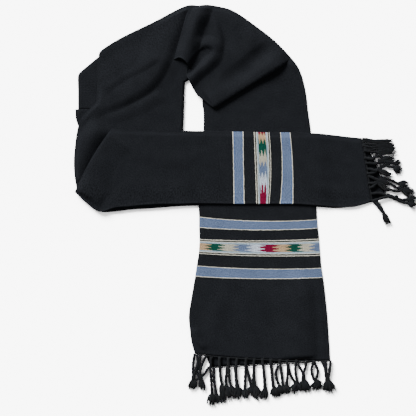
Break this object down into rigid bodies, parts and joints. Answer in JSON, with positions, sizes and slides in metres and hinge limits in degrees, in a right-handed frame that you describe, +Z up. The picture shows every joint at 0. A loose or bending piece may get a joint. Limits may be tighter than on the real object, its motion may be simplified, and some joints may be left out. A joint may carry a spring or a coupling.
{
  "type": "muffler",
  "caption": "Fine wool muffler, doubled lengthwise and laid flat in a loop, with striped flame-banded ends and a tasselled fringe.",
  "frame": {"origin": "on the surface the muffler lies on, under the middle of its bounding box", "axes": "+Y from the hanging end's fringe towards the turn at the top, +X towards the crossing end's fringe, +Z up off the surface"},
  "size_m": [0.8896, 1.021, 0.0169],
  "materials": {
    "cloth": "matt fine wool, blue-black, with blue stripes and a flame band at each end",
    "fringe": "matt twisted wool yarn, blue-black"
  },
  "bodies": {
    "root": {"lower_tail": "cloth", "right_strand": "cloth", "left_strand": "cloth", "cross_tail": "cloth", "crown": "cloth", "left_under": "cloth", "left_tip": "cloth", "lower_fringe_top": "fringe", "lower_fringe_under": "fringe", "cross_fringe_top": "fringe", "cross_fringe_under": "fringe"}
  },
  "joints": []
}
